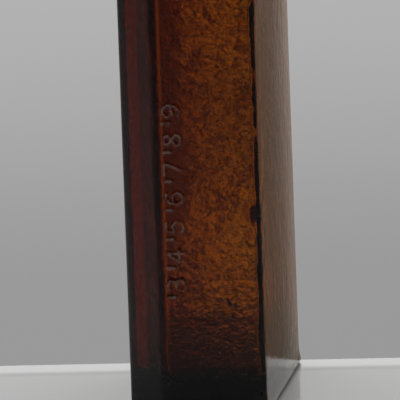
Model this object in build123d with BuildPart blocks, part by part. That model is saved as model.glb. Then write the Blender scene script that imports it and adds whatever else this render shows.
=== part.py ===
from build123d import *

import os
from math import cos, radians, sin

# Rectangular apothecary bottle of moulded amber glass, its tapered cork stopper and the dried
# residue on its floor.
#
# Frame: millimetres, +Z up, origin at the centre of the base. X runs along the two broad faces
# and Y through the thickness. The label face is at -Y, between two nearly sharp corners. The two
# corners at the back, +Y, are bevelled, at about 45 degrees. The narrow side at -X carries a
# raised dose scale, close to its bevel.

# Glass body, outside
BODY_WIDTH = 64.5  # along X
BODY_DEPTH = 38.0  # along Y
BODY_HEIGHT = 118.0  # from the base to where the shoulder begins
BACK_BEVEL = (9.4, 10.2)  # legs of each bevel, along X and Y
FRONT_CORNER_RADIUS = 1.0
BEVEL_CORNER_RADIUS = 3.0
HEEL_RADIUS = 1.2  # the rounded edge that meets the table

# Shoulder, neck and lip, outside
SHOULDER_RISE = 17.0
SHOULDER_TURNS = (0, 18, 36, 54, 72)  # degrees from upright at each section of the shoulder
SHOULDER_END_RADIUS = 8.5  # corners of the last section, which is nearly round
NECK_RADIUS = 11.6
NECK_ROOT_FILLET = 2.0
NECK_TOP = 155.0  # underside of the lip
LIP_RADIUS = 13.6
LIP_HEIGHT = 9.0
LIP_EDGE_RADIUS = 1.2

# Glass body, inside
WALL = 2.1  # of both narrow sides
FRONT_WALL = 1.7
BACK_WALL = 3.0
CAVITY_BEVEL = (10.9, 8.8)  # its legs along X and Y
FLOOR_THICKNESS = 8.4
CAVITY_FRONT_RADIUS = 0.8
CAVITY_BACK_RADIUS = 3.0
CAVITY_HEEL_RADIUS = 3.2
BORE_FOOT_RADIUS = 8.1
BORE_MOUTH_RADIUS = 8.7
MOUTH_EDGE_RADIUS = 0.8

# Recess under the base, which leaves a flat rim to stand on
RECESS_DEPTH = 1.0
RECESS_TAPER = 40  # degrees
RIM_WIDTH = 6.0
RECESS_BEVEL = (6.0, 6.0)
RECESS_CORNER_RADIUS = 4.0

# Dose scale: one bar for each tablespoon of 15 ml, counted from the floor
BAR_PITCH = 15000 / 1940  # 15 ml over the cavity's area in square millimetres
FIRST_BAR = 3
LAST_BAR = 9
BAR_LENGTH = 1.8
BAR_WIDTH = 0.8
BAR_RELIEF = 0.35
BAR_FROM_BEVEL = 2.2

# Cork stopper
CORK_LENGTH = 27.0
CORK_PROUD = 9.0  # what stands above the lip
CORK_CLEARANCE = 0.05  # radial, against the bore
CORK_SWELL_HEIGHT = 1.5  # over which the cork swells, once it is out of the bore
CORK_SWELL_RADIUS = 9.5
CORK_TOP_RADIUS = 9.9
CORK_EDGE_RADIUS = 0.7

# Dried residue on the floor
RESIDUE_THICKNESS = 0.8
RESIDUE_EDGE_RADIUS = 0.3

LIP_TOP = NECK_TOP + LIP_HEIGHT
SHOULDER_TOP = BODY_HEIGHT + SHOULDER_RISE * sin(radians(SHOULDER_TURNS[-1]))
BORE_FOOT = SHOULDER_TOP - 4
BORE_SLOPE = (BORE_MOUTH_RADIUS - BORE_FOOT_RADIUS) / (LIP_TOP - BORE_FOOT)
CORK_FOOT = LIP_TOP + CORK_PROUD - CORK_LENGTH


def plan(half_width, front, back, bevel, front_radius, bevel_radius):
    """A rectangle with its two +Y corners bevelled, and every corner rounded."""
    along, across = bevel
    with BuildSketch() as outline:
        with BuildLine():
            Polyline(
                (-half_width, -front),
                (half_width, -front),
                (half_width, back - across),
                (half_width - along, back),
                (along - half_width, back),
                (-half_width, back - across),
                close=True,
            )
        make_face()
        fillet(outline.vertices().filter_by_position(Axis.Y, 0, back), bevel_radius)
        fillet(outline.vertices().group_by(Axis.Y)[0], front_radius)
    return outline.sketch


def body_section(insets, turn, bevel, front_radius, bevel_radius):
    """The body's plan where the shoulder has turned in by so many degrees, inset from the
    outside at the narrow sides, the front and the back."""
    sides, front, back = insets
    spread = cos(radians(turn))
    rounding = sin(radians(turn)) ** 2
    top = NECK_RADIUS - sides
    return plan(
        top + (BODY_WIDTH / 2 - sides - top) * spread,
        top + (BODY_DEPTH / 2 - front - top) * spread,
        top + (BODY_DEPTH / 2 - back - top) * spread,
        bevel,
        front_radius + (SHOULDER_END_RADIUS - front_radius) * rounding,
        bevel_radius + (SHOULDER_END_RADIUS * 0.6 - bevel_radius) * rounding,
    )


def outside_section(turn):
    radii = (FRONT_CORNER_RADIUS, BEVEL_CORNER_RADIUS)
    return body_section((0, 0, 0), turn, BACK_BEVEL, *radii)


def cavity_section(turn):
    radii = (CAVITY_FRONT_RADIUS, CAVITY_BACK_RADIUS)
    return body_section((WALL, FRONT_WALL, BACK_WALL), turn, CAVITY_BEVEL, *radii)


def section_plane(inset, turn):
    """The height of that section: the inside rises half the inset less than the outside."""
    return Plane.XY.offset(BODY_HEIGHT + (SHOULDER_RISE - inset / 2) * sin(radians(turn)))


os.makedirs("parts", exist_ok=True)

# The space inside the bottle, which is cut from the glass
with BuildPart() as cavity:
    with BuildSketch(Plane.XY.offset(FLOOR_THICKNESS)):
        add(cavity_section(0))
    extrude(amount=BODY_HEIGHT - FLOOR_THICKNESS)
    fillet(cavity.edges().group_by(Axis.Z)[0], CAVITY_HEEL_RADIUS)
    for turn in SHOULDER_TURNS:
        with BuildSketch(section_plane(WALL, turn)):
            add(cavity_section(turn))
    loft()
    with BuildSketch(Plane.XY.offset(BORE_FOOT)):
        Circle(BORE_FOOT_RADIUS)
    with BuildSketch(Plane.XY.offset(LIP_TOP)):
        Circle(BORE_MOUTH_RADIUS)
    loft(ruled=True)

# The bottle, one piece of moulded glass
with BuildPart() as glass_bottle:
    with BuildSketch():
        add(outside_section(0))
    extrude(amount=BODY_HEIGHT)
    fillet(glass_bottle.edges().group_by(Axis.Z)[0], HEEL_RADIUS)
    for turn in SHOULDER_TURNS:
        with BuildSketch(section_plane(0, turn)):
            add(outside_section(turn))
    loft()

    # Neck, with a soft root
    with BuildSketch(Plane.XY.offset(BODY_HEIGHT)):
        Circle(NECK_RADIUS)
    extrude(amount=NECK_TOP - BODY_HEIGHT)
    on_shoulder = glass_bottle.edges().filter_by_position(
        Axis.Z, SHOULDER_TOP - 0.01, SHOULDER_TOP + 0.01
    )
    fillet(on_shoulder.sort_by(SortBy.LENGTH)[-1], NECK_ROOT_FILLET)

    # Lip
    with BuildSketch(Plane.XY.offset(NECK_TOP)):
        Circle(LIP_RADIUS)
    extrude(amount=LIP_HEIGHT)
    rim = glass_bottle.edges().filter_by(GeomType.CIRCLE).sort_by(Axis.Z)
    fillet([edge for edge in rim if edge.radius > NECK_RADIUS + 1], LIP_EDGE_RADIUS)

    # Inside, with the mouth's inner edge eased
    add(cavity.part, mode=Mode.SUBTRACT)
    mouth = glass_bottle.edges().filter_by_position(Axis.Z, LIP_TOP - 0.01, LIP_TOP + 0.01)
    fillet(mouth.sort_by(SortBy.LENGTH)[0], MOUTH_EDGE_RADIUS)

    # Recess under the base
    with BuildSketch():
        recess_radii = (RECESS_CORNER_RADIUS, RECESS_CORNER_RADIUS)
        add(body_section((RIM_WIDTH, RIM_WIDTH, RIM_WIDTH), 0, RECESS_BEVEL, *recess_radii))
    extrude(amount=RECESS_DEPTH, taper=RECESS_TAPER, mode=Mode.SUBTRACT)

    # Raised dose scale
    side = Plane(origin=(-BODY_WIDTH / 2, 0, 0), x_dir=(0, -1, 0), z_dir=(-1, 0, 0))
    bar_start = BODY_DEPTH / 2 - BACK_BEVEL[1] - BAR_FROM_BEVEL
    with BuildSketch(side):
        for number in range(FIRST_BAR, LAST_BAR + 1):
            with Locations((-bar_start, FLOOR_THICKNESS + number * BAR_PITCH)):
                Rectangle(BAR_LENGTH, BAR_WIDTH, align=(Align.MIN, Align.CENTER))
    extrude(amount=BAR_RELIEF)

glass_bottle.part.label = "glass_bottle"
export_step(glass_bottle.part, "parts/glass_bottle.step")

# The cork: it follows the bore, then swells where nothing squeezes it
foot_radius = BORE_MOUTH_RADIUS - BORE_SLOPE * (LIP_TOP - CORK_FOOT) - CORK_CLEARANCE
with BuildPart() as cork_stopper:
    with BuildSketch(Plane.XZ):
        with BuildLine():
            Polyline(
                (0, CORK_FOOT),
                (foot_radius, CORK_FOOT),
                (BORE_MOUTH_RADIUS - CORK_CLEARANCE, LIP_TOP),
                (CORK_SWELL_RADIUS, LIP_TOP + CORK_SWELL_HEIGHT),
                (CORK_TOP_RADIUS, LIP_TOP + CORK_PROUD),
                (0, LIP_TOP + CORK_PROUD),
                close=True,
            )
        make_face()
    revolve(axis=Axis.Z)
    ends = cork_stopper.edges().filter_by(GeomType.CIRCLE).sort_by(Axis.Z)
    fillet([ends[0], ends[-1]], CORK_EDGE_RADIUS)

cork_stopper.part.label = "cork_stopper"
export_step(cork_stopper.part, "parts/cork_stopper.step")

# The residue: a thin crust with an irregular outline, lying on the flat of the floor
with BuildPart() as dried_residue:
    with BuildSketch(Plane.XY.offset(FLOOR_THICKNESS)):
        with BuildLine():
            Spline(
                (-23, -9), (-13, -12), (1, -10), (13, -11), (22, -3), (15, 6), (4, 8), (-9, 12),
                (-19, 9), (-24, 1),
                periodic=True,
            )
        make_face()
    extrude(amount=RESIDUE_THICKNESS)
    fillet(dried_residue.edges().group_by(Axis.Z)[-1], RESIDUE_EDGE_RADIUS)

dried_residue.part.label = "dried_residue"
export_step(dried_residue.part, "parts/dried_residue.step")
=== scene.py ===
import math
import random

import bmesh
import bpy
import numpy as np
from mathutils import Matrix, Quaternion, Vector, noise


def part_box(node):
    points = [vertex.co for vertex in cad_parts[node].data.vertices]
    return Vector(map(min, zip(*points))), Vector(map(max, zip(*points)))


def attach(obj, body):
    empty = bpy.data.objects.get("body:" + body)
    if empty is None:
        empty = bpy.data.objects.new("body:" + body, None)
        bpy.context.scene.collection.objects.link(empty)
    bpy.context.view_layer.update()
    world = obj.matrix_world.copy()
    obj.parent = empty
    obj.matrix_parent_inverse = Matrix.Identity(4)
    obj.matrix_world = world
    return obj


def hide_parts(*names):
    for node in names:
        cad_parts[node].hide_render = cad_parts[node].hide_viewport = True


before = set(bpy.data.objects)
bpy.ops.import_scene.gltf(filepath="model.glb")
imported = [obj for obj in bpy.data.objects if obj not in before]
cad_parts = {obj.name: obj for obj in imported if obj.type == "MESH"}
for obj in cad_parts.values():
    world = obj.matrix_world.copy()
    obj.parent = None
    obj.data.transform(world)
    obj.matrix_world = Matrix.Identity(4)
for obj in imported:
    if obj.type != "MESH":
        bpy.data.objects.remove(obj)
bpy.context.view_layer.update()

# An old rectangular apothecary bottle of moulded amber glass, with its cork and the dried crust
# of what it held. Shapes are worked out in millimetres, in the CAD model's frame, and scaled to
# metres when a mesh is made.
MM = 0.001
BOTTLE, STOPPER = "bottle", "stopper"

# Corners of the CAD model's boxes
glass_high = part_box("glass_bottle")[1] / MM
cork_low, cork_high = (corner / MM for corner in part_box("cork_stopper"))
crust_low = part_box("dried_residue")[0] / MM

# Outside of the glass
HALF_WIDTH = glass_high.x
HALF_DEPTH = glass_high.y
LIP_TOP = glass_high.z
BODY_HEIGHT = 118.0
BEVEL = (9.4, 10.2)  # of the two back corners: its legs along X and along Y
FRONT_RADIUS = 1.0
BEVEL_RADIUS = 3.0
HEEL_RADIUS = 1.2
SHOULDER_RISE = 17.0
SHOULDER_TURN = 72.0
SHOULDER_END_RADIUS = 8.5
NECK_RADIUS = 11.6
NECK_ROOT = 2.0
LIP_RADIUS = 13.6
LIP_HEIGHT = 9.0
LIP_EDGE = 1.2
UNDER_LIP = 0.5
RIM_WIDTH = 6.0
RECESS_DEPTH = 1.0
SHOULDER_TOP = BODY_HEIGHT + SHOULDER_RISE * math.sin(math.radians(SHOULDER_TURN))
NECK_TOP = LIP_TOP - LIP_HEIGHT

# Inside of the glass
WALL = 2.1  # of both narrow sides
FRONT_WALL = 1.7
BACK_WALL = 3.0
CAVITY_BEVEL = (10.9, 8.8)
FLOOR = crust_low.z
CAVITY_FRONT_RADIUS = 0.8
CAVITY_BACK_RADIUS = 3.0
CAVITY_HEEL = 3.2
BORE_FOOT_RADIUS = 8.1
BORE_MOUTH_RADIUS = 8.7
MOUTH_EDGE = 0.8
BORE_EDGE = 1.3
INNER_RISE = SHOULDER_RISE - WALL / 2
BOW = 0.8  # how far the broad face at -Y stands out at its middle, over its edges
LUMP_HEIGHT = 53.0  # of a lump of glass in the cavity's corner between the -X and -Y walls
LUMP_RISE = 1.1
LUMP_SPREAD = 1.7  # up and down

# Dose scale on the narrow side at -X: a bar and its number for each tablespoon of 15 ml
BAR_PITCH = 15000 / 1940
FIRST_BAR, LAST_BAR = 3, 9
BAR_START_Y = HALF_DEPTH - BEVEL[1] - 2.2
BAR_LENGTH = 1.8
BAR_HALF_WIDTH = 0.36
DIGIT_HEIGHT = 4.6
DIGIT_RAISED = 1.7  # from the bar's middle to the foot of its number
STROKE_HALF_WIDTH = 0.25
RELIEF = 0.35


# --------------------------------------------------------------------------- camera
FRAME_WIDTH = 105.3
LENS = 1200.0
SENSOR = 36.0
AZIMUTH, ELEVATION, ROLL = math.radians(-81.65), math.radians(11.7), math.radians(2.05)
AIM_ACROSS, AIM_HEIGHT = -2.1, 50.8


def make_camera():
    """A long lens that looks at the -X side, from a little above."""
    across = Vector((math.cos(AZIMUTH), math.sin(AZIMUTH), 0))
    back = Vector(
        (
            math.sin(AZIMUTH) * math.cos(ELEVATION),
            -math.cos(AZIMUTH) * math.cos(ELEVATION),
            math.sin(ELEVATION),
        )
    )
    aim = across * AIM_ACROSS * MM + Vector((0, 0, AIM_HEIGHT * MM))
    data = bpy.data.cameras.new("camera")
    data.lens = LENS
    data.sensor_width = SENSOR
    data.clip_start, data.clip_end = 0.1, 20
    camera = bpy.data.objects.new("camera", data)
    bpy.context.scene.collection.objects.link(camera)
    distance = FRAME_WIDTH * MM * LENS / SENSOR
    camera.location = aim + back * distance
    camera.rotation_mode = "QUATERNION"
    turn = (-back).to_track_quat("-Z", "Y")
    camera.rotation_quaternion = turn @ Quaternion((0, 0, 1), -ROLL)
    bpy.context.scene.camera = camera


make_camera()


# --------------------------------------------------------------------------- mesh helpers
def new_object(name, vertices, faces, smooth=True):
    """An object from vertices in millimetres."""
    mesh = bpy.data.meshes.new(name)
    mesh.from_pydata((np.asarray(vertices) * MM).tolist(), [], faces)
    mesh.validate()
    if smooth:
        mesh.polygons.foreach_set("use_smooth", [True] * len(mesh.polygons))
    obj = bpy.data.objects.new(name, mesh)
    bpy.context.scene.collection.objects.link(obj)
    return obj


def grid_faces(rows, columns):
    """Quads of a grid whose columns close on themselves."""
    i, j = np.meshgrid(np.arange(rows - 1), np.arange(columns), indexing="ij")
    nxt = (j + 1) % columns
    quads = np.stack([i * columns + j, i * columns + nxt, (i + 1) * columns + nxt, (i + 1) * columns + j], -1)
    return quads.reshape(-1, 4).tolist()


def move_points(obj, points):
    """Put the object's vertices at these places in millimetres."""
    obj.data.vertices.foreach_set("co", (points * MM).ravel())
    obj.data.update()


def face_outwards(obj):
    """Turn the faces of its closed shapes outwards."""
    mesh = bmesh.new()
    mesh.from_mesh(obj.data)
    bmesh.ops.recalc_face_normals(mesh, faces=mesh.faces)
    mesh.to_mesh(obj.data)
    mesh.free()


def normals_of(obj):
    """Vertex normals."""
    flat = np.zeros(len(obj.data.vertices) * 3, np.float32)
    obj.data.vertex_normals.foreach_get("vector", flat)
    return flat.reshape(-1, 3)


def noise_field(points, size, seed, octaves=1):
    """Smooth noise, about -1 to 1, at points in millimetres, with lumps of that size."""
    shift = Vector((seed * 17.3, seed * 5.1, seed * 9.7))
    total = np.zeros(len(points))
    for octave in range(octaves):
        scale = 2**octave / size
        total += [noise.noise(Vector(p) * scale + shift) * 0.5**octave for p in points.tolist()]
    return total


def smoothstep(low, high, x):
    """From 0 at low to 1 at high, with soft ends. Low may be the greater of the two."""
    t = np.clip((x - low) / (high - low), 0, 1)
    return t * t * (3 - 2 * t)


# --------------------------------------------------------------------------- glass
def eased(cells):
    """Fractions from 0 to 1, closer together at both ends."""
    t = np.linspace(0, 1, cells + 1)
    return 0.45 * t + 0.55 * (1 - np.cos(math.pi * t)) / 2


SCALE_MARGIN = 0.6  # of fine mesh beside the dose scale


def scale_side_fractions():
    """Fractions down the -X side, from its bevel to its front corner, fine across the dose scale."""
    top = HALF_DEPTH - BEVEL[1] - BEVEL_RADIUS * math.tan(math.pi / 8)
    length = top + HALF_DEPTH - FRONT_RADIUS
    strip = (BAR_START_Y + SCALE_MARGIN, BAR_START_Y - DIGIT_HEIGHT - SCALE_MARGIN)
    start, end = ((top - y) / length for y in strip)
    return np.concatenate(
        [np.linspace(0, start, 6)[:-1], np.linspace(start, end, 31)[:-1], np.linspace(end, 1, 17)]
    )


# The six sides of the plan, from the front one on, and the corner at the start of each
SIDES = (eased(40), eased(20), eased(9), eased(28), eased(9), scale_side_fractions())
ARC_CELLS = (6, 6, 3, 3, 3, 3)


def plan(half_width, front, back, bevel, front_radius, bevel_radius):
    """The section's outline, counter-clockwise from the front corner at -X, as (n, 2) points."""
    along, across = bevel
    corners = np.array(
        [
            (-half_width, -front),
            (half_width, -front),
            (half_width, back - across),
            (half_width - along, back),
            (along - half_width, back),
            (-half_width, back - across),
        ]
    )
    radii = (front_radius, front_radius) + (bevel_radius,) * 4
    arcs = []
    for k, corner in enumerate(corners):
        before, after = corner - corners[k - 1], corners[(k + 1) % 6] - corner
        before, after = before / np.linalg.norm(before), after / np.linalg.norm(after)
        turn = math.acos(np.clip(before @ after, -1, 1))
        reach = radii[k] * math.tan(turn / 2)
        centre = corner - before * reach + radii[k] * np.array((-before[1], before[0]))
        outward = np.array((before[1], -before[0]))
        angles = np.linspace(0, turn, ARC_CELLS[k] + 1)[:, None]
        arcs.append(centre + radii[k] * (np.cos(angles) * outward + np.sin(angles) * before))
    points = []
    for k in range(6):
        start, end = arcs[k][-1], arcs[(k + 1) % 6][0]
        points.append(arcs[k][:-1])
        points.append((start + SIDES[k][:, None] * (end - start))[:-1])
    return np.concatenate(points)


def turned(insets, turn, bevel, front_radius, bevel_radius):
    """The body's plan where the shoulder has turned in by so many degrees, inset from the outside at
    the narrow sides, the front and the back."""
    sides, front, back = insets
    spread, rounding = math.cos(math.radians(turn)), math.sin(math.radians(turn)) ** 2
    top = NECK_RADIUS - min(sides, WALL)
    return plan(
        top + (HALF_WIDTH - sides - top) * spread,
        top + (HALF_DEPTH - front - top) * spread,
        top + (HALF_DEPTH - back - top) * spread,
        bevel,
        front_radius + (SHOULDER_END_RADIUS - front_radius) * rounding,
        bevel_radius + (SHOULDER_END_RADIUS * 0.6 - bevel_radius) * rounding,
    )


def outside(inset=0.0, turn=0.0, front_radius=FRONT_RADIUS, bevel_radius=BEVEL_RADIUS):
    """The outside's plan."""
    bevel = [max(leg - inset * (2 - math.sqrt(2)), 0.5) for leg in BEVEL]
    return turned((inset,) * 3, turn, bevel, front_radius, bevel_radius)


def inside(inset=0.0, turn=0.0):
    """The cavity's plan, inset from the cavity's own wall."""
    bevel = [leg - inset * (2 - math.sqrt(2)) for leg in CAVITY_BEVEL]
    radii = (max(CAVITY_FRONT_RADIUS - inset, 0.3), max(CAVITY_BACK_RADIUS - inset, 0.5))
    insets = [wall + inset for wall in (WALL, FRONT_WALL, BACK_WALL)]
    return turned(insets, turn, bevel, *radii)


def at_height(outline, z):
    return np.column_stack([outline, np.full(len(outline), z)])


# The neck's columns are spread more evenly than those of the shoulder below it
SHOULDER_ANGLES = np.unwrap(np.arctan2(*outside(turn=SHOULDER_TURN).T[::-1]))
EVEN_ANGLES = np.arange(len(SHOULDER_ANGLES)) * 2 * math.pi / len(SHOULDER_ANGLES)
NECK_ANGLES = 0.4 * SHOULDER_ANGLES + 0.6 * (EVEN_ANGLES + np.mean(SHOULDER_ANGLES - EVEN_ANGLES))
CIRCLE = np.column_stack([np.cos(NECK_ANGLES), np.sin(NECK_ANGLES)])


def ring(radius, z):
    return at_height(CIRCLE * radius, z)


def body_heights(low, high):
    """Heights up the straight body, fine across the dose scale."""
    scale_low = FLOOR + FIRST_BAR * BAR_PITCH - 1
    scale_high = FLOOR + LAST_BAR * BAR_PITCH + 5.6
    return np.concatenate(
        [
            low + eased(16)[:-1] * (scale_low - low),
            np.arange(scale_low, scale_high, 0.25),
            np.linspace(scale_high, high, 18)[:-1],
        ]
    )


def quarter(steps):
    """Angles through a quarter turn."""
    return np.linspace(0, math.pi / 2, steps + 1)


def shoulder_height(turn, rise):
    return BODY_HEIGHT + rise * math.sin(math.radians(turn))


def base_rows():
    """From the middle of the recess under the base out to the top of the heel."""
    rows = []
    recess = outside(RIM_WIDTH, 0, 4, 4)
    for share in (0.04, 0.2, 0.4, 0.6, 0.8, 0.93):
        rows.append(at_height(recess * share, RECESS_DEPTH))
    for angle in quarter(5)[1:]:
        drop = RECESS_DEPTH * (1 - math.cos(angle * 2)) / 2
        rows.append(at_height(recess * (0.955 + 0.045 * angle / math.pi * 2), RECESS_DEPTH - drop))
    for inset in (5.2, 4.0, 2.6):
        rows.append(at_height(outside(inset, 0, 3, 3), 0))
    for angle in quarter(5):
        inset = HEEL_RADIUS * (1 - math.sin(angle))
        outline = outside(inset, 0, FRONT_RADIUS - inset * 0.8)
        rows.append(at_height(outline, HEEL_RADIUS * (1 - math.cos(angle))))
    return rows


def lip_edge_row(angle, middle):
    return ring(LIP_RADIUS - LIP_EDGE + LIP_EDGE * math.cos(angle), middle + LIP_EDGE * math.sin(angle))


def outer_rows():
    """The outside, from under the base up to the top of the lip."""
    rows = base_rows()
    straight = outside()
    rows += [at_height(straight, z) for z in body_heights(HEEL_RADIUS, BODY_HEIGHT)[1:]]
    for turn in np.linspace(0, SHOULDER_TURN, 19):
        rows.append(at_height(outside(turn=turn), shoulder_height(turn, SHOULDER_RISE)))
    root = ring(NECK_RADIUS + NECK_ROOT, SHOULDER_TOP)
    for share in (0.35, 0.7, 0.92):
        rows.append(rows[-1] * (1 - share) + root * share)
    for angle in quarter(6):
        radius = NECK_RADIUS + NECK_ROOT * (1 - math.sin(angle))
        rows.append(ring(radius, SHOULDER_TOP + 0.1 + NECK_ROOT * (1 - math.cos(angle))))
    neck = np.linspace(SHOULDER_TOP + NECK_ROOT, NECK_TOP - UNDER_LIP, 12)[1:]
    rows += [ring(NECK_RADIUS, z) for z in neck]
    for angle in quarter(3):
        radius = NECK_RADIUS + UNDER_LIP * (1 - math.cos(angle))
        rows.append(ring(radius, NECK_TOP - UNDER_LIP * (1 - math.sin(angle))))
    rows += [lip_edge_row(-angle, NECK_TOP + LIP_EDGE) for angle in quarter(6)[::-1]]
    side = np.linspace(NECK_TOP + LIP_EDGE, LIP_TOP - LIP_EDGE, 7)[1:-1]
    rows += [ring(LIP_RADIUS, z) for z in side]
    rows += [lip_edge_row(angle, LIP_TOP - LIP_EDGE) for angle in quarter(6)]
    return rows


def inner_rows():
    """The inside, from the mouth down to the middle of the floor."""
    rows = []
    inner_top = shoulder_height(SHOULDER_TURN, INNER_RISE)
    for angle in quarter(5):
        radius = BORE_MOUTH_RADIUS + MOUTH_EDGE * (1 - math.sin(angle))
        rows.append(ring(radius, LIP_TOP - MOUTH_EDGE * (1 - math.cos(angle))))
    bore = np.linspace(LIP_TOP - MOUTH_EDGE, inner_top + BORE_EDGE, 16)
    for z in bore[1:]:
        share = (z - bore[-1]) / (bore[0] - bore[-1])
        rows.append(ring(BORE_FOOT_RADIUS + (BORE_MOUTH_RADIUS - BORE_FOOT_RADIUS) * share, z))
    for angle in quarter(4)[1:]:
        radius = BORE_FOOT_RADIUS + BORE_EDGE * (1 - math.cos(angle))
        rows.append(ring(radius, inner_top + BORE_EDGE * (1 - math.sin(angle))))
    shoulder = []
    for turn in np.linspace(SHOULDER_TURN, 0, 19):
        shoulder.append(at_height(inside(turn=turn), shoulder_height(turn, INNER_RISE)))
    for share in (0.3, 0.65):
        rows.append(rows[-1] * (1 - share) + shoulder[0] * share)
    rows += shoulder
    walls = np.linspace(BODY_HEIGHT, FLOOR + CAVITY_HEEL, 76)
    rows += [at_height(inside(), z) for z in walls[1:-1]]
    for angle in quarter(8):
        outline = inside(CAVITY_HEEL * (1 - math.cos(angle)))
        rows.append(at_height(outline, FLOOR + CAVITY_HEEL * (1 - math.sin(angle))))
    floor = rows[-1]
    for share in np.linspace(1, 0.04, 18)[1:]:
        rows.append(floor * (share, share, 1))
    return rows


# Numbers of the dose scale: each is one stroke through these points of a cell 2 wide and 3 high
DIGIT_CELL_HEIGHT = 3
DIGITS = {
    3: ((0.1, 2.7), (1, 3), (1.8, 2.6), (1.6, 1.8), (0.8, 1.6), (1.8, 1.3), (1.9, 0.5), (1, 0), (0.1, 0.3)),
    4: ((1.5, 0), (1.5, 3), (0, 0.9), (2, 0.9)),
    5: ((1.8, 3), (0.3, 3), (0.2, 1.7), (1.2, 1.9), (1.9, 1.3), (1.7, 0.3), (0.9, 0), (0.1, 0.3)),
    6: ((1.7, 2.8), (0.9, 3), (0.2, 2.2), (0, 1), (0.5, 0.1), (1.4, 0), (2, 0.8), (1.5, 1.7), (0.2, 1.4)),
    7: ((0, 3), (2, 3), (0.8, 0)),
    8: (
        (1, 1.6), (0.2, 2.2), (0.5, 2.9), (1.5, 2.9), (1.8, 2.2), (1, 1.6),
        (0, 0.8), (0.4, 0.1), (1.6, 0.1), (2, 0.8), (1, 1.6),
    ),
    9: ((0.3, 0.2), (1.1, 0), (1.8, 0.8), (2, 2), (1.5, 2.9), (0.6, 3), (0, 2.2), (0.5, 1.3), (1.8, 1.6)),
}


def scale_strokes():
    """Every stroke of the dose scale, as (half width, start, end) in (-y, z), seen from outside. The
    numbers lie on their backs, each over its bar, and read upwards."""
    strokes = []
    cell = DIGIT_HEIGHT / DIGIT_CELL_HEIGHT
    start, end = -BAR_START_Y, -BAR_START_Y + DIGIT_HEIGHT
    for number in range(FIRST_BAR, LAST_BAR + 1):
        z = FLOOR + number * BAR_PITCH
        strokes.append((BAR_HALF_WIDTH, (start, z), (start + BAR_LENGTH, z)))
        spots = [(end - y * cell, z + DIGIT_RAISED + x * cell) for x, y in DIGITS[number]]
        strokes += [(STROKE_HALF_WIDTH, a, b) for a, b in zip(spots, spots[1:])]
    return strokes


def scale_relief(points):
    """How far the dose scale stands out of the -X side at these (-y, z) points."""
    height = np.zeros(len(points))
    for half, start, end in scale_strokes():
        start, end = np.array(start), np.array(end)
        along = end - start
        share = np.clip((points - start) @ along / (along @ along), 0, 1)
        gap = np.linalg.norm(points - start - share[:, None] * along, axis=1)
        height = np.maximum(height, RELIEF * (1 - smoothstep(half * 0.3, half + 0.28, gap)))
    return height


def glass_wave(points, inner):
    """How far the glass's surface stands out of its true shape: the outside is nearly even, and the
    inside, which no mould touched, swells and ripples."""
    z = points[:, 2]
    calm = smoothstep(2, 12, z) * (1 - 0.6 * smoothstep(NECK_TOP - 4, NECK_TOP, z))
    if not inner:
        wave = 0.03 * noise_field(points, 22, 1) + 0.012 * noise_field(points, 7, 2)
        return np.minimum(wave * calm, 0.03)
    wave = 0.17 * noise_field(points, 17, 3) + 0.08 * noise_field(points, 5.5, 4)
    wave += 0.045 * noise_field(points, 2.6, 9)
    front = -HALF_DEPTH + FRONT_WALL
    corner = smoothstep(HALF_WIDTH - 8, HALF_WIDTH - 4, np.abs(points[:, 0]))
    corner *= smoothstep(front + 4.5, front + 1, points[:, 1])
    wave += corner * (0.8 * noise_field(points, 7, 21) + 0.6 * noise_field(points, 2.4, 22))
    wave += corner * (points[:, 0] < 0) * LUMP_RISE * np.exp(-(((z - LUMP_HEIGHT) / LUMP_SPREAD) ** 2))
    return wave * calm


def bow(points):
    """The broad face at -Y is a little convex."""
    x, y, z = points.T
    near = smoothstep(-HALF_DEPTH + 9, -HALF_DEPTH, y)
    near *= smoothstep(0, 4, z) * smoothstep(BODY_HEIGHT + 6, BODY_HEIGHT - 20, z)
    moved = points.copy()
    moved[:, 1] += near * BOW * ((x / HALF_WIDTH) ** 2 - 0.25)
    return moved


def seed_bubbles():
    """Small bubbles in the walls: their places, radii and upright stretches."""
    draw = random.Random(11)
    middle = HALF_WIDTH - WALL / 2
    low, high = 14, BODY_HEIGHT - 4
    bubbles = []
    for _ in range(46):
        side = draw.choice((-1, -1, 1))
        y = draw.uniform(-HALF_DEPTH + 3.5, HALF_DEPTH - BEVEL[1] - 1.5)
        radius = draw.uniform(0.09, 0.24)
        place = Vector((side * middle, y, draw.uniform(low, high)))
        bubbles.append((place, radius, draw.uniform(1, 2.4)))
    for _ in range(44):
        x = draw.uniform(-HALF_WIDTH + 12, HALF_WIDTH - 12)
        y = draw.choice((HALF_DEPTH - BACK_WALL / 2, -HALF_DEPTH + FRONT_WALL / 2))
        radius = draw.uniform(0.08, 0.2)
        place = Vector((x, y, draw.uniform(low, high)))
        bubbles.append((place, radius, draw.uniform(1, 2.2)))
    return bubbles


def add_bubbles(mesh):
    """Add the seed bubbles as closed shells that face inwards, into the bubble."""
    for centre, radius, stretch in seed_bubbles():
        scale = Matrix.Diagonal((radius * MM, radius * MM, radius * stretch * MM, 1))
        place = Matrix.Translation(centre * MM) @ scale
        made = bmesh.ops.create_icosphere(mesh, subdivisions=2, radius=1, matrix=place)["verts"]
        shell = list({face for vertex in made for face in vertex.link_faces})
        for face in shell:
            face.smooth = True
        bmesh.ops.reverse_faces(mesh, faces=shell)


def inner_lean(points, normals):
    """The glass settled thinner towards the front of the narrow sides."""
    lean = 0.33 * np.clip(-points[:, 1] / HALF_DEPTH, -1, 1) * np.abs(normals[:, 0]) ** 4
    below_shoulder = 1 - smoothstep(BODY_HEIGHT - 8, BODY_HEIGHT + 6, points[:, 2])
    heel_top = FLOOR + CAVITY_HEEL
    return lean * below_shoulder * smoothstep(heel_top, heel_top + 8, points[:, 2])


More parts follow.
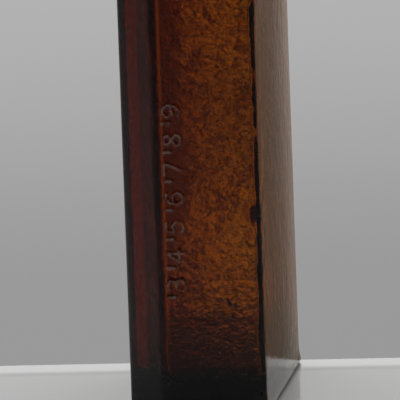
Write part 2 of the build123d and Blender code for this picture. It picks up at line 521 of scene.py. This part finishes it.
def surface_marks(points, normals, inner_part, relief):
    """How much each place has of the film inside, of the scale's painted highlight and of darkening by the
    bevel.
    """
    x, y, z = points.T
    # There is less film on the front wall, and hardly any beside the bevel
    front_part = smoothstep(0.7, 1.0, normals[:, 1] * (y < 0))
    film = 1 - front_part * (0.45 + 0.5 * smoothstep(-4, -22, x))
    film -= 0.9 * smoothstep(0.3, 0.45, -normals[:, 0] * normals[:, 1])
    # Painted highlight: the raised scale's tops are made pale, broken up by noise
    highlight_breakup = np.clip(0.6 + 1.3 * noise_field(points, 1.6, 31), 0.1, 1)
    # Darker down the near wall beside its bevel, partly painted shade over the refraction line there
    darkened_beside_bevel = smoothstep(-1.5, 4.5, y + 2 * noise_field(points, 6, 32)) * (0.4 + 0.6 * smoothstep(32, 48, z))
    darkened_beside_bevel *= 0.85 * inner_part * (x < 0) * (np.abs(normals[:, 0]) > 0.55)
    return {
        "inner_surface": inner_part * film,
        "stroke_highlight": smoothstep(0.35, 0.9, relief / RELIEF) * highlight_breakup,
        "darkened_beside_bevel": darkened_beside_bevel,
    }


def make_bottle():
    """The moulded glass: its outside and inside are one closed surface that meets at the lip."""
    outer, inner = outer_rows(), inner_rows()
    rows = outer + inner
    columns = len(rows[0])
    points = np.concatenate(rows)
    faces = grid_faces(len(rows), columns)
    faces.append(list(range(columns))[::-1])
    faces.append([(len(rows) - 1) * columns + j for j in range(columns)])
    bottle = new_object("moulded_glass_bottle", points, faces)
    normals = normals_of(bottle)
    split = len(outer) * columns
    inner_part = np.arange(len(points)) >= split
    wave = np.concatenate([glass_wave(points[:split], False), glass_wave(points[split:], True)])
    wave = wave - np.where(inner_part, inner_lean(points, normals), 0)

    # Mould seams, up two opposite corners to the underside of the lip
    for seam in (ARC_CELLS[0] // 2, len(outer[0]) // 2 - 6):
        for offset, height in ((-1, 0.03), (0, 0.1), (1, 0.03)):
            line = np.arange(seam + offset, split, columns)
            reached = (points[line, 2] > HEEL_RADIUS) & (points[line, 2] < NECK_TOP - 0.6)
            wave[line] += height * reached
    points = bow(points + normals * wave[:, None])

    # Raised dose scale
    on_side = ~inner_part & (normals[:, 0] < -0.98) & (points[:, 2] > 20) & (points[:, 2] < 110)
    relief = np.zeros(len(points))
    relief[on_side] = scale_relief(np.column_stack([-points[on_side, 1], points[on_side, 2]]))
    points[:, 0] -= relief
    move_points(bottle, points)
    for name, amounts in surface_marks(points, normals, inner_part, relief).items():
        attribute = bottle.data.attributes.new(name, "FLOAT", "POINT")
        attribute.data.foreach_set("value", amounts.astype(np.float32))

    mesh = bmesh.new()
    mesh.from_mesh(bottle.data)
    add_bubbles(mesh)
    mesh.to_mesh(bottle.data)
    mesh.free()
    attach(bottle, BOTTLE)
    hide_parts("glass_bottle")
    return bottle


# --------------------------------------------------------------------------- cork
CORK_GAP = 0.12  # between the cork and the bore at the mouth
CORK_FOOT_EDGE = 0.7
CORK_TOP_EDGE = 0.9
CORK_SWELL = 0.8


def cork_profile():
    """The cork's outline as (radius, z), from the middle of its foot to the middle of its top. It has
    the bore's taper below the lip and a swollen head."""
    foot, top = cork_low.z, cork_high.z
    slope = (BORE_MOUTH_RADIUS - BORE_FOOT_RADIUS) / (LIP_TOP - SHOULDER_TOP + 4)
    profile = [(0.02, foot), (4, foot), (7.2, foot)]
    in_bore = BORE_MOUTH_RADIUS - CORK_GAP
    for angle in quarter(4):
        radius = in_bore - slope * (LIP_TOP - foot) - CORK_FOOT_EDGE * (1 - math.sin(angle))
        profile.append((radius, foot + CORK_FOOT_EDGE * (1 - math.cos(angle))))
    for z in np.linspace(foot + CORK_FOOT_EDGE, LIP_TOP, 40)[1:]:
        profile.append((in_bore - slope * (LIP_TOP - z), z))
    for z in np.linspace(LIP_TOP, top - CORK_TOP_EDGE, 26)[1:]:
        swell = CORK_SWELL * smoothstep(0, 2.0, z - LIP_TOP)
        profile.append((in_bore + swell + 0.03 * (z - LIP_TOP), z))
    crown = profile[-1][0]
    for angle in quarter(5)[1:]:
        radius = crown - CORK_TOP_EDGE * (1 - math.cos(angle))
        profile.append((radius, top - CORK_TOP_EDGE * (1 - math.sin(angle))))
    return profile + [(crown * share, top) for share in np.linspace(0.88, 0.03, 22)]


def make_cork():
    """The cork, turned from its outline and pitted all over, most of all above the lip."""
    profile = cork_profile()
    columns = 150
    angles = np.arange(columns) * 2 * math.pi / columns
    circle = np.column_stack([np.cos(angles), np.sin(angles)])
    points = np.concatenate([at_height(circle * r, z) for r, z in profile])
    faces = grid_faces(len(profile), columns)
    faces.append(list(range(columns))[::-1])
    faces.append([(len(profile) - 1) * columns + j for j in range(columns)])
    cork = new_object("tapered_cork", points, faces)
    normals = normals_of(cork)
    pits = smoothstep(0.25, 0.6, noise_field(points * (1, 1, 2.2), 1.9, 5))
    grain = noise_field(points, 3.5, 6) * 0.04 + noise_field(points, 0.9, 7) * 0.02
    depth = grain - 0.3 * pits - 0.06
    free = smoothstep(-1, 1.5, points[:, 2] - LIP_TOP)
    move_points(cork, points + normals * (np.minimum(depth, 0) * (0.35 + 0.65 * free))[:, None])
    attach(cork, STOPPER)
    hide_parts("cork_stopper")
    return cork


# --------------------------------------------------------------------------- residue
CRUST_GAP = 0.05  # between the crust and the glass
FLECK_GAP = 0.36  # between a fleck and the glass, which lets a fleck clear the ripples beside it
FLECK_CORNERS = 11
FLECKS_ON_WALLS = (("near", 150), ("far", 110), ("front", 40), ("back", 50))
FLECKS_REACH = 88.0  # how high above the heel they lie
TIDE_FLECKS = 30
TIDE_HEIGHT, TIDE_SLOPE = 19.9, 0.207  # the film's upper edge: the bottle leaned while its contents dried

# Larger flakes on the wall at -X: (y, z), then length, width, thickness, turn, curl and raggedness
LARGE_FLECKS = (
    ((-16.6, LUMP_HEIGHT), (5.0, 2.0, 0.7, math.radians(4), 0.0, 0.07)),
    ((-9.0, 29.8), (2.7, 1.0, 0.3, math.radians(-20), 0.5)),
    ((-10.6, 29.0), (1.5, 1.1, 0.35, math.radians(20), 0.2)),
    ((-5.2, 80.5), (0.9, 0.675, 0.25, 0.9)),
    ((-4.6, 98.0), (0.7, 0.525, 0.25, 0.7)),
    ((-11.5, 84.0), (0.6, 0.45, 0.25, 0.6)),
)


def crust_top(angle):
    """How high the crust climbs the wall in that direction, with a ragged edge."""
    ragged = 0
    for often in (3, 9, 26):
        spot = Vector((often * math.cos(angle), often * math.sin(angle), often))
        ragged += noise.noise(spot) / often**0.5
    return FLOOR + CAVITY_HEEL + 0.7 + 0.6 * ragged


def make_crust():
    """The dried crust: a lumpy skin over the floor and the foot of the walls."""
    columns = 240
    first = inside(CAVITY_HEEL)[0]
    angles = np.arctan2(first[1], first[0]) + np.arange(columns) * 2 * math.pi / columns

    def resampled(outline):
        """The outline's points in those directions from the middle."""
        around = np.unwrap(np.arctan2(outline[:, 1], outline[:, 0]))
        closed = np.concatenate([around - 2 * math.pi, around, around + 2 * math.pi])
        return np.column_stack([np.interp(angles, closed, np.tile(axis, 3)) for axis in outline.T])

    wall, floor = resampled(inside()), resampled(inside(CAVITY_HEEL))
    rows = [at_height(floor * share, FLOOR) for share in np.linspace(0.02, 1, 34)]
    for angle in quarter(8)[1:]:
        outline = resampled(inside(CAVITY_HEEL * (1 - math.sin(angle))))
        rows.append(at_height(outline, FLOOR + CAVITY_HEEL * (1 - math.cos(angle))))
    tops = np.array([crust_top(angle) for angle in angles])
    for share in np.linspace(0, 1, 15)[1:]:
        height = FLOOR + CAVITY_HEEL + share * (tops - FLOOR - CAVITY_HEEL)
        rows.append(np.column_stack([wall, height]))
    base = np.concatenate(rows)
    faces = [face[::-1] for face in grid_faces(len(rows), columns)][::-1]
    faces.append(list(range(columns)))
    sheet = new_object("residue_crust", base, faces)
    normals = normals_of(sheet)
    normals = normals * np.sign(normals[0, 2])  # into the cavity
    bpy.data.objects.remove(sheet)

    base = bow(base + normals * (glass_wave(base, True) + CRUST_GAP)[:, None])
    climb = np.repeat(np.arange(len(rows)), columns) / (len(rows) - 1)
    lumps = 0.5 + 0.4 * noise_field(base, 4.2, 8, 3) + 0.5 * np.maximum(noise_field(base, 1.9, 12), 0)
    thickness = np.clip(lumps, 0.12, 1.2) * (1 - 0.55 * smoothstep(0.55, 0.8, climb))
    rim = smoothstep(0.84, 0.95, climb) * (0.25 + 0.5 * np.maximum(noise_field(base, 1.4, 14), 0))
    thickness = (thickness + rim) * (1 - 0.93 * smoothstep(0.965, 1.0, climb))
    top = base + normals * thickness[:, None]

    # A closed skin: the top, the side that lies on the glass, and the hem between them
    count = len(base)
    under = [[vertex + count for vertex in face[::-1]] for face in faces]
    edge = (len(rows) - 1) * columns
    hem = []
    for j in range(columns):
        nxt = (j + 1) % columns
        hem.append([edge + j, edge + nxt, edge + nxt + count, edge + j + count])
    crust = new_object("residue_crust", np.concatenate([top, base]), faces + under + hem)
    face_outwards(crust)
    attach(crust, BOTTLE)
    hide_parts("dried_residue")
    return crust


def fleck(draw, place, normal, length, width, thickness, turn, curl=0.0, ragged=0.28):
    """A thin irregular flake lying on a wall: points and faces of a closed shape."""
    side = Vector((0, 0, 1)).cross(normal)
    up = normal.cross(side)
    across = side * math.cos(turn) + up * math.sin(turn)
    along = normal.cross(across)
    rim = [1 + draw.uniform(-ragged, ragged) for _ in range(FLECK_CORNERS)]
    points = []
    for share, height in ((1.0, 0.0), (0.97, 0.45), (0.6, 1.0), (0.0, 1.0), (0.0, 0.0)):
        for k in range(FLECK_CORNERS if share else 1):
            angle = 2 * math.pi * k / FLECK_CORNERS
            a = math.cos(angle) * length / 2 * share * rim[k]
            b = math.sin(angle) * width / 2 * share * rim[k]
            lift = thickness * height + curl * (2 * a / length) ** 2
            if height:
                lift += draw.uniform(-0.2, 0.2) * thickness
            points.append(place + along * a + across * b + normal * max(lift, 0))
    faces = []
    middle_ring, top_ring = FLECK_CORNERS, 2 * FLECK_CORNERS
    for low, high in ((0, middle_ring), (middle_ring, top_ring)):
        for k in range(FLECK_CORNERS):
            nxt = (k + 1) % FLECK_CORNERS
            faces.append((low + k, low + nxt, high + nxt, high + k))
    crown, foot = 3 * FLECK_CORNERS, 3 * FLECK_CORNERS + 1
    for k in range(FLECK_CORNERS):
        nxt = (k + 1) % FLECK_CORNERS
        faces.append((top_ring + k, top_ring + nxt, crown))
        faces.append((nxt, k, foot))
    return points, faces


def wall_spot(draw, wall):
    """A place on that wall of the cavity, and the direction into the cavity there."""
    z = FLOOR + CAVITY_HEEL + draw.random() ** 1.5 * FLECKS_REACH
    if wall in ("near", "far"):
        side = -1 if wall == "near" else 1
        y = -HALF_DEPTH + FRONT_WALL + 2.5 + draw.betavariate(1.4, 1.0) * 22
        return Vector((side * (HALF_WIDTH - WALL), y, z)), Vector((-side, 0, 0))
    side = 1 if wall == "back" else -1
    depth = BACK_WALL if wall == "back" else FRONT_WALL
    x = draw.uniform(-1, 1) * (HALF_WIDTH - 13)
    return Vector((x, side * (HALF_DEPTH - depth), z)), Vector((0, -side, 0))


def fleck_list(draw):
    """Every fleck's place, the direction into the cavity there, and its shape."""
    flecks = []
    for wall, count in FLECKS_ON_WALLS:
        for _ in range(count):
            place, normal = wall_spot(draw, wall)
            size = 0.14 + 0.6 * draw.random() ** 3.2
            shape = (size, size * draw.uniform(0.5, 1), min(0.1 + 0.12 * size, 0.2), draw.uniform(0, math.pi))
            flecks.append((place, normal, shape))
    into = Vector((1, 0, 0))
    wall_x = -(HALF_WIDTH - WALL)
    flecks += [(Vector((wall_x, *spot)), into, shape) for spot, shape in LARGE_FLECKS]
    for _ in range(TIDE_FLECKS):
        y = -16.8 + 20 * draw.random()
        z = TIDE_HEIGHT - TIDE_SLOPE * wall_x + draw.gauss(0.2, 0.5)
        shape = (draw.uniform(0.2, 0.6), draw.uniform(0.3, 1.2), 0.2, draw.gauss(0, 0.5), 0.1)
        flecks.append((Vector((wall_x, y, z)), into, shape))
    return flecks


def make_flecks():
    """Loose flecks of the residue stuck to the walls above the crust."""
    draw = random.Random(5)
    points, faces = [], []
    for place, normal, shape in fleck_list(draw):
        spot = np.array([tuple(place)])
        place = Vector(bow(spot)[0]) + normal * (float(glass_wave(spot, True)[0]) + FLECK_GAP)
        made, sides = fleck(draw, place, normal, *shape)
        faces += [[index + len(points) for index in face] for face in sides]
        points += made
    specks = new_object("residue_flecks", [tuple(point) for point in points], faces)
    face_outwards(specks)
    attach(specks, BOTTLE)
    return specks


# --------------------------------------------------------------------------- materials
class Nodes:
    """A short way to write the node tree of a material or a world."""

    def __init__(self, owner):
        self.owner = owner
        owner.use_nodes = True
        self.tree = owner.node_tree
        self.tree.nodes.clear()

    def add(self, kind, settings=(), **inputs):
        """A node with its settings, and its inputs by name, with _ for a space."""
        node = self.tree.nodes.new(kind)
        for key, value in dict(settings).items():
            setattr(node, key, value)
        for key, value in inputs.items():
            self.put(node, key.replace("_", " "), value)
        return node

    def put(self, node, socket, value):
        """Link a socket to an input, or set a value on it."""
        target = node.inputs[socket]
        if isinstance(value, bpy.types.NodeSocket):
            self.tree.links.new(value, target)
        else:
            target.default_value = value

    def place(self):
        """Position in millimetres."""
        geometry = self.add("ShaderNodeTexCoord").outputs["Object"]
        scaled = self.add("ShaderNodeVectorMath", {"operation": "SCALE"}, Vector=geometry, Scale=1 / MM)
        return scaled.outputs["Vector"]

    def noise(self, size, detail=2.0, roughness=0.5, distortion=0.0, place=None):
        """Noise with lumps of that size in millimetres."""
        return self.add(
            "ShaderNodeTexNoise",
            Vector=place or self.place(),
            Scale=1 / size,
            Detail=detail,
            Roughness=roughness,
            Distortion=distortion,
        ).outputs["Fac"]

    def rising(self, value, low, high):
        """0 below low, 1 above high."""
        return self.add("ShaderNodeMapRange", Value=value, From_Min=low, From_Max=high).outputs[0]

    def ramp(self, fac, *stops):
        """A ramp of greys or colours, each stop a place from 0 to 1 and its shade."""
        node = self.add("ShaderNodeValToRGB", Fac=fac)
        ramp = node.color_ramp
        while len(ramp.elements) < len(stops):
            ramp.elements.new(1.0)
        for element, (position, shade) in zip(ramp.elements, stops):
            element.position = position
            element.color = (*shade, 1) if isinstance(shade, tuple) else (shade, shade, shade, 1)
        return node.outputs["Color"]

    def wide_ramp(self, value, low, high, *stops):
        """A ramp whose stops are placed from low to high."""
        spread = [((place - low) / (high - low), shade) for place, shade in stops]
        return self.ramp(self.rising(value, low, high), *spread)

    def scalar(self, operation, first, second, third=None):
        """One step of arithmetic on numbers."""
        node = self.add("ShaderNodeMath", {"operation": operation, "use_clamp": operation != "MULTIPLY_ADD"})
        for index, value in enumerate((first, second, third)):
            if value is not None:
                self.put(node, index, value)
        return node.outputs[0]

    def mixed(self, amount, first, second):
        """A blend of two colours."""
        node = self.add("ShaderNodeMix", {"data_type": "RGBA"})
        for socket, value in ((0, amount), (6, first), (7, second)):
            self.put(node, socket, value)
        return node.outputs[2]

    def finish(self, surface, volume=None):
        """Link the material's surface and volume, and give the material back."""
        out = self.add("ShaderNodeOutputMaterial", Surface=surface)
        if volume:
            self.put(out, "Volume", volume)
        return self.owner


def new_material(name):
    return Nodes(bpy.data.materials.new(name))


AMBER_DENSITY = 1700.0
AMBER = (0.907, 0.705, 0.0, 1)
STAIN = (0.15, 0.06, 0.02, 1)
# Pale colour painted on the raised scale as its highlight
STROKE_HIGHLIGHT_COLOUR = (0.85, 0.66, 0.52, 1)


def film_and_darkening(n, place):
    """Darker at mid height and beside the bevel, and a film of dried medicine under the tide line."""
    axes = n.add("ShaderNodeSeparateXYZ", Vector=place).outputs
    # Darker from about 50 to 98 mm up, most between 61 and 86 mm
    mid_height_darkening = n.wide_ramp(axes["Z"], 0.0, 160.0, (49.6, 0.0), (60.8, 0.27), (86.4, 0.27), (97.6, 0.08))
    # Darker beside the bevel, partly painted shade over the refraction line at its corner
    bevel_darkening = n.add("ShaderNodeAttribute", {"attribute_name": "darkened_beside_bevel"}).outputs["Fac"]
    lean = n.scalar("MULTIPLY_ADD", axes["X"], TIDE_SLOPE, axes["Z"])
    wobbled = n.scalar("MULTIPLY_ADD", n.noise(3.0, 4.0, 0.6, 0.3, place), 3.0, lean)
    depth = n.rising(wobbled, 1.5, 1.5 + 2 * TIDE_HEIGHT)
    tide = n.ramp(depth, (0.0, 0.72), (0.45, 0.76), (0.485, 1.5), (0.505, 0.0))
    lumps = n.ramp(n.noise(2.4, 3.0, 0.6, 0.4, place), (0.38, 0.7), (0.6, 1.0))
    return n.scalar("ADD", n.scalar("ADD", mid_height_darkening, bevel_darkening), n.scalar("MULTIPLY", tide, lumps))


def dried_spots(n, place, film):
    """The film, with blotches, pits and spots of dried medicine over it."""
    blotches = n.ramp(n.noise(4.5, 5.0, 0.65, 0.7, place), (0.46, 0.0), (0.60, 1.0))
    pits = n.ramp(n.noise(1.1, 3.0, 0.6, 0.2, place), (0.49, 0.0), (0.59, 1.0))
    spots = n.ramp(n.noise(2.1, 3.0, 0.6, 0.5, place), (0.60, 0.0), (0.66, 1.0))
    patchy = n.scalar("MULTIPLY_ADD", blotches, 0.55, film)
    mottled = n.scalar("MULTIPLY_ADD", pits, 0.7, patchy)
    return n.scalar("ADD", mottled, n.scalar("MULTIPLY", spots, 0.6))


def amber_glass():
    """Amber glass, tinted through its volume, with a brown film of dried medicine on the inside."""
    n = new_material("amber_glass")
    place = n.place()
    inner = n.add("ShaderNodeAttribute", {"attribute_name": "inner_surface"}).outputs["Fac"]
    stroke_highlight = n.add("ShaderNodeAttribute", {"attribute_name": "stroke_highlight"}).outputs["Fac"]

    # Fine waves and pores, nearly all of them on the inside
    relief = n.scalar("MULTIPLY_ADD", inner, 0.92, 0.08)
    waves = n.scalar("MULTIPLY", n.noise(3.0, 2.0, 0.5, 0.4, place), relief)
    pores = n.scalar("MULTIPLY", n.noise(0.9, 2.0, 0.6, 0.2, place), relief)
    wavy = n.add("ShaderNodeBump", Height=waves, Distance=0.0014, Strength=0.7).outputs["Normal"]
    bump = n.add("ShaderNodeBump", Height=pores, Distance=0.0008, Strength=0.8, Normal=wavy)

    dirt = n.scalar("MULTIPLY", dried_spots(n, place, film_and_darkening(n, place)), inner)
    # The raised scale is painted pale as a painted highlight
    colour = n.mixed(stroke_highlight, n.mixed(dirt, (1, 1, 1, 1), STAIN), STROKE_HIGHLIGHT_COLOUR)
    rough = n.ramp(n.noise(9, 4.0, 0.6, 0.5, place), (0.35, 0.02), (0.75, 0.10))
    glass = n.add(
        "ShaderNodeBsdfPrincipled",
        Base_Color=colour,
        Roughness=rough,
        IOR=1.5,
        # The scale's painted highlight also lets less light through
        Transmission_Weight=n.scalar("MULTIPLY_ADD", stroke_highlight, -0.45, 1.0),
        Normal=bump.outputs["Normal"],
    )
    volume = n.add("ShaderNodeVolumeAbsorption", Color=AMBER, Density=AMBER_DENSITY)
    return n.finish(glass.outputs[0], volume.outputs[0])


def cork_material():
    """Cork: tan grain with browner patches and dark pores drawn out upwards."""
    n = new_material("cork")
    place = n.place()
    cells = n.noise(1.1, 4.0, 0.6, 0.3, place)
    grain = n.ramp(cells, (0.3, (0.20, 0.10, 0.045)), (0.5, (0.42, 0.25, 0.125)), (0.75, (0.56, 0.37, 0.21)))
    grained = n.ramp(n.noise(5, 3.0, 0.6, 0.6, place), (0.35, 0.0), (0.7, 1.0))
    stretched = n.add("ShaderNodeVectorMath", {"operation": "MULTIPLY"})
    n.put(stretched, 0, place)
    n.put(stretched, 1, (1, 1, 2.2))
    pores = n.ramp(n.noise(1.9, 2.0, 0.5, 0.3, stretched.outputs["Vector"]), (0.58, 0.0), (0.66, 1.0))
    colour = n.mixed(pores, n.mixed(grained, (0.30, 0.17, 0.085, 1), grain), (0.055, 0.027, 0.013, 1))
    bump = n.add("ShaderNodeBump", Height=cells, Distance=0.0003, Strength=0.6)
    surface = n.add(
        "ShaderNodeBsdfPrincipled", Base_Color=colour, Roughness=0.85, Normal=bump.outputs["Normal"]
    )
    return n.finish(surface.outputs[0])


def residue_material():
    """Dried medicine: dull, dark reddish brown and lumpy."""
    n = new_material("residue")
    lumps = n.noise(1.4, 4.0, 0.65, 0.4)
    colour = n.ramp(
        lumps, (0.3, (0.10, 0.028, 0.008)), (0.55, (0.24, 0.073, 0.022)), (0.8, (0.36, 0.15, 0.06))
    )
    bump = n.add("ShaderNodeBump", Height=lumps, Distance=0.0004, Strength=0.8)
    surface = n.add(
        "ShaderNodeBsdfPrincipled", Base_Color=colour, Roughness=0.75, Normal=bump.outputs["Normal"]
    )
    n.put(surface, "Specular IOR Level", 0.2)
    return n.finish(surface.outputs[0])


# --------------------------------------------------------------------------- stage
EDGE_X = 34.0  # where the floor turns down behind the bottle, at the front face's depth
EDGE_TURN = math.radians(4.3)
SLOPE = math.radians(16)
# The paler strip along the floor's edge is a painted highlight
PALE_STRIP = 9.2  # the floor is paler along its edge
STAGE_REACH = 2500.0


def floor_material(before_edge):
    """Pale grey, with a painted highlight as a paler strip along the edge and a thin darker band before the
    strip.
    """
    n = new_material("floor")
    axes = n.add("ShaderNodeSeparateXYZ", Vector=n.place()).outputs
    lean, start = before_edge
    past_edge = n.scalar("MULTIPLY_ADD", axes["X"], 1.0, n.scalar("MULTIPLY_ADD", axes["Y"], lean, start))
    # Painted highlight along the floor's edge
    strip = n.rising(past_edge, -PALE_STRIP - 1.5, -PALE_STRIP + 1.5)
    band = n.wide_ramp(
        past_edge, -PALE_STRIP - 8, -PALE_STRIP + 2, (-PALE_STRIP - 5.5, 0.0), (-PALE_STRIP - 3, 1.0)
    )
    grain = n.ramp(n.noise(60, 3.0), (0.3, 0.565), (0.7, 0.585))
    colour = n.mixed(strip, n.mixed(band, grain, (0.47, 0.47, 0.47, 1)), (0.75, 0.75, 0.75, 1))
    surface = n.add(
        "ShaderNodeBsdfPrincipled",
        Base_Color=colour,
        Metallic=n.scalar("MULTIPLY", strip, 0.3),
        Roughness=0.1,
        IOR=1.6,
    )
    n.put(surface, "Specular IOR Level", 0.35)
    return n.finish(surface.outputs[0])


def make_stage():
    """A floor that ends a little past the bottle and slopes away behind it."""
    reach = STAGE_REACH
    lean = math.tan(EDGE_TURN)
    near, far = EDGE_X - lean * (HALF_DEPTH - reach), EDGE_X - lean * (HALF_DEPTH + reach)
    drop = math.tan(SLOPE) * reach
    corners = [
        (-reach, -reach, 0), (near, -reach, 0), (far, reach, 0), (-reach, reach, 0),
        (near + reach, -reach, -drop), (far + reach, reach, -drop),
    ]
    floor = new_object("floor", corners, [(0, 1, 2, 3), (1, 4, 5, 2)], smooth=False)
    floor.data.materials.append(floor_material((lean, lean * HALF_DEPTH - EDGE_X)))


def make_world():
    """A backdrop that is bright behind the bottle and darker to its sides and in front."""
    world = bpy.data.worlds.new("studio")
    bpy.context.scene.world = world
    n = Nodes(world)
    direction = n.add("ShaderNodeTexCoord").outputs["Generated"]
    axes = n.add("ShaderNodeSeparateXYZ", Vector=direction).outputs
    up = n.wide_ramp(
        axes["Z"], -0.5, 0.5,
        (-0.5, 0.31), (-0.2116, 0.319), (-0.2057, 0.328), (-0.1969, 0.397), (-0.1888, 0.445),
        (-0.1, 0.50), (0.1, 0.46), (0.25, 0.36), (0.5, 0.16),
    )
    ahead = n.wide_ramp(axes["X"], -1, 1, (-1, 0.08), (-0.2, 0.2), (0.2, 0.7), (0.9, 1.0))
    aside = n.wide_ramp(
        axes["Y"], -1, 1,
        (-1, 0.3), (-0.3, (0.42, 0.31, 0.21)), (-0.2, (0.50, 0.37, 0.26)), (-0.136, (0.30, 0.255, 0.23)),
        (-0.08, (0.75, 0.62, 0.50)), (-0.05, (1.0, 0.82, 0.65)), (0.08, 1.0), (0.18, 1.0),
        (0.27, 0.62), (0.45, 0.5), (1, 0.6),
    )
    level = n.add("ShaderNodeVectorMath", {"operation": "MULTIPLY"})
    n.put(level, 0, up)
    n.put(level, 1, aside)
    background = n.add("ShaderNodeBackground", Color=level.outputs["Vector"], Strength=ahead)
    n.add("ShaderNodeOutputWorld", Surface=background.outputs[0])


def make_light(name, place, aim, size, power):
    """A soft rectangular light. Its place, aim and size are in metres, and its power in watts."""
    data = bpy.data.lights.new(name, "AREA")
    data.shape = "RECTANGLE"
    data.size, data.size_y = size
    data.energy = power
    light = bpy.data.objects.new(name, data)
    bpy.context.scene.collection.objects.link(light)
    light.location = place
    light.rotation_mode = "QUATERNION"
    light.rotation_quaternion = (Vector(aim) - Vector(place)).to_track_quat("-Z", "Y")


# --------------------------------------------------------------------------- making
make_bottle().data.materials.append(amber_glass())
make_cork().data.materials.append(cork_material())
for piece in (make_crust(), make_flecks()):
    piece.data.materials.append(residue_material())

make_stage()
make_world()
make_light("softbox_overhead", (0.2, 0, 0.9), (0.1, 0, 0.0), (0.9, 0.7), 5)
make_light("softbox_behind", (2.0, 0, 0.42), (0.0, 0, 0.0), (1.6, 0.5), 1.45)
bpy.context.scene.view_settings.view_transform = "Standard"
